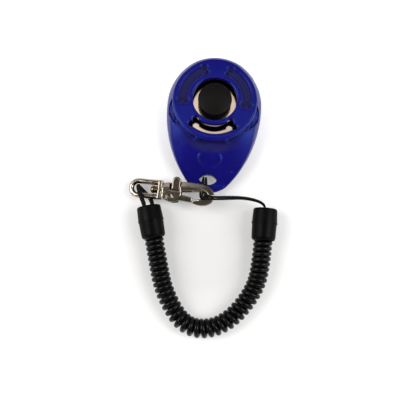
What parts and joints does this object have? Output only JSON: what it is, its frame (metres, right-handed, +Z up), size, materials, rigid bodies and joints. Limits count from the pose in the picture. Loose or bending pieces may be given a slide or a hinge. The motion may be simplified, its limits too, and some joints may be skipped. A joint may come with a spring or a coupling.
{
  "type": "clicker trainer",
  "caption": "Egg-shaped box clicker with a domed push button over a steel click plate, on a coiled wrist lanyard with a swivel lobster clasp clipped to its cord.",
  "frame": {"origin": "under the middle of the clicker's bounding box, on the surface that it lies on", "axes": "+Z up through the button's face, +Y along the clicker towards its round head, +X to the right seen from above with the head away"},
  "size_m": [0.0699, 0.1299, 0.0175],
  "materials": {
    "blue_plastic": "moulded, satin gloss",
    "black_plastic": "fine satin",
    "polished_steel": "polished",
    "screw_steel": "zinc plated",
    "spring_steel": "drawn wire and strip",
    "clasp_nickel": "antique nickel plate",
    "rivet_brass": "worn",
    "sleeve_plastic": "satin",
    "coil_plastic": "semi-gloss",
    "thin_black_cord": "braided",
    "thick_black_cord": "braided"
  },
  "bodies": {
    "case": {"top_shell": "blue_plastic", "bottom_shell": "blue_plastic", "case_screws": "screw_steel", "plate_screws": "screw_steel", "click_plate": "polished_steel", "coil": "coil_plastic", "thin_cord": "thin_black_cord", "thin_cord_knot": "thin_black_cord", "strap_cord": "thick_black_cord", "strap_cord_knot": "thick_black_cord", "right_sleeve_cap": "sleeve_plastic", "right_sleeve_barrel": "sleeve_plastic", "left_sleeve_cap": "sleeve_plastic", "left_sleeve_barrel": "sleeve_plastic", "swivel_rivet": "rivet_brass", "hook_body": "clasp_nickel", "gate_pin": "clasp_nickel"},
    "button": {"button": "black_plastic", "button_retainer": "spring_steel"},
    "gate": {"gate_lever": "clasp_nickel", "gate_spring": "spring_steel"},
    "eye": {"swivel_eye": "clasp_nickel"}
  },
  "joints": [
    {"name": "button_press", "type": "slide", "parent": "case", "child": "button", "axis": [0, 0, -1], "range_m": [0, 0.0012], "stiffness_N_per_m": 2500, "deforming": ["click_plate"]},
    {"name": "gate_open", "type": "hinge", "parent": "case", "child": "gate", "pos_m": [-0.01656, -0.03588, 0.00614], "axis": [-0.1373, 0.0055, 0.9905], "range_deg": [0, 12], "stiffness_Nm_per_rad": 0.02},
    {"name": "eye_swivel", "type": "hinge", "parent": "case", "child": "eye", "pos_m": [-0.03585, -0.0323, 0.00345], "axis": [0.9897, -0.0398, 0.1374], "continuous": true, "deforming": ["strap_cord"]}
  ]
}
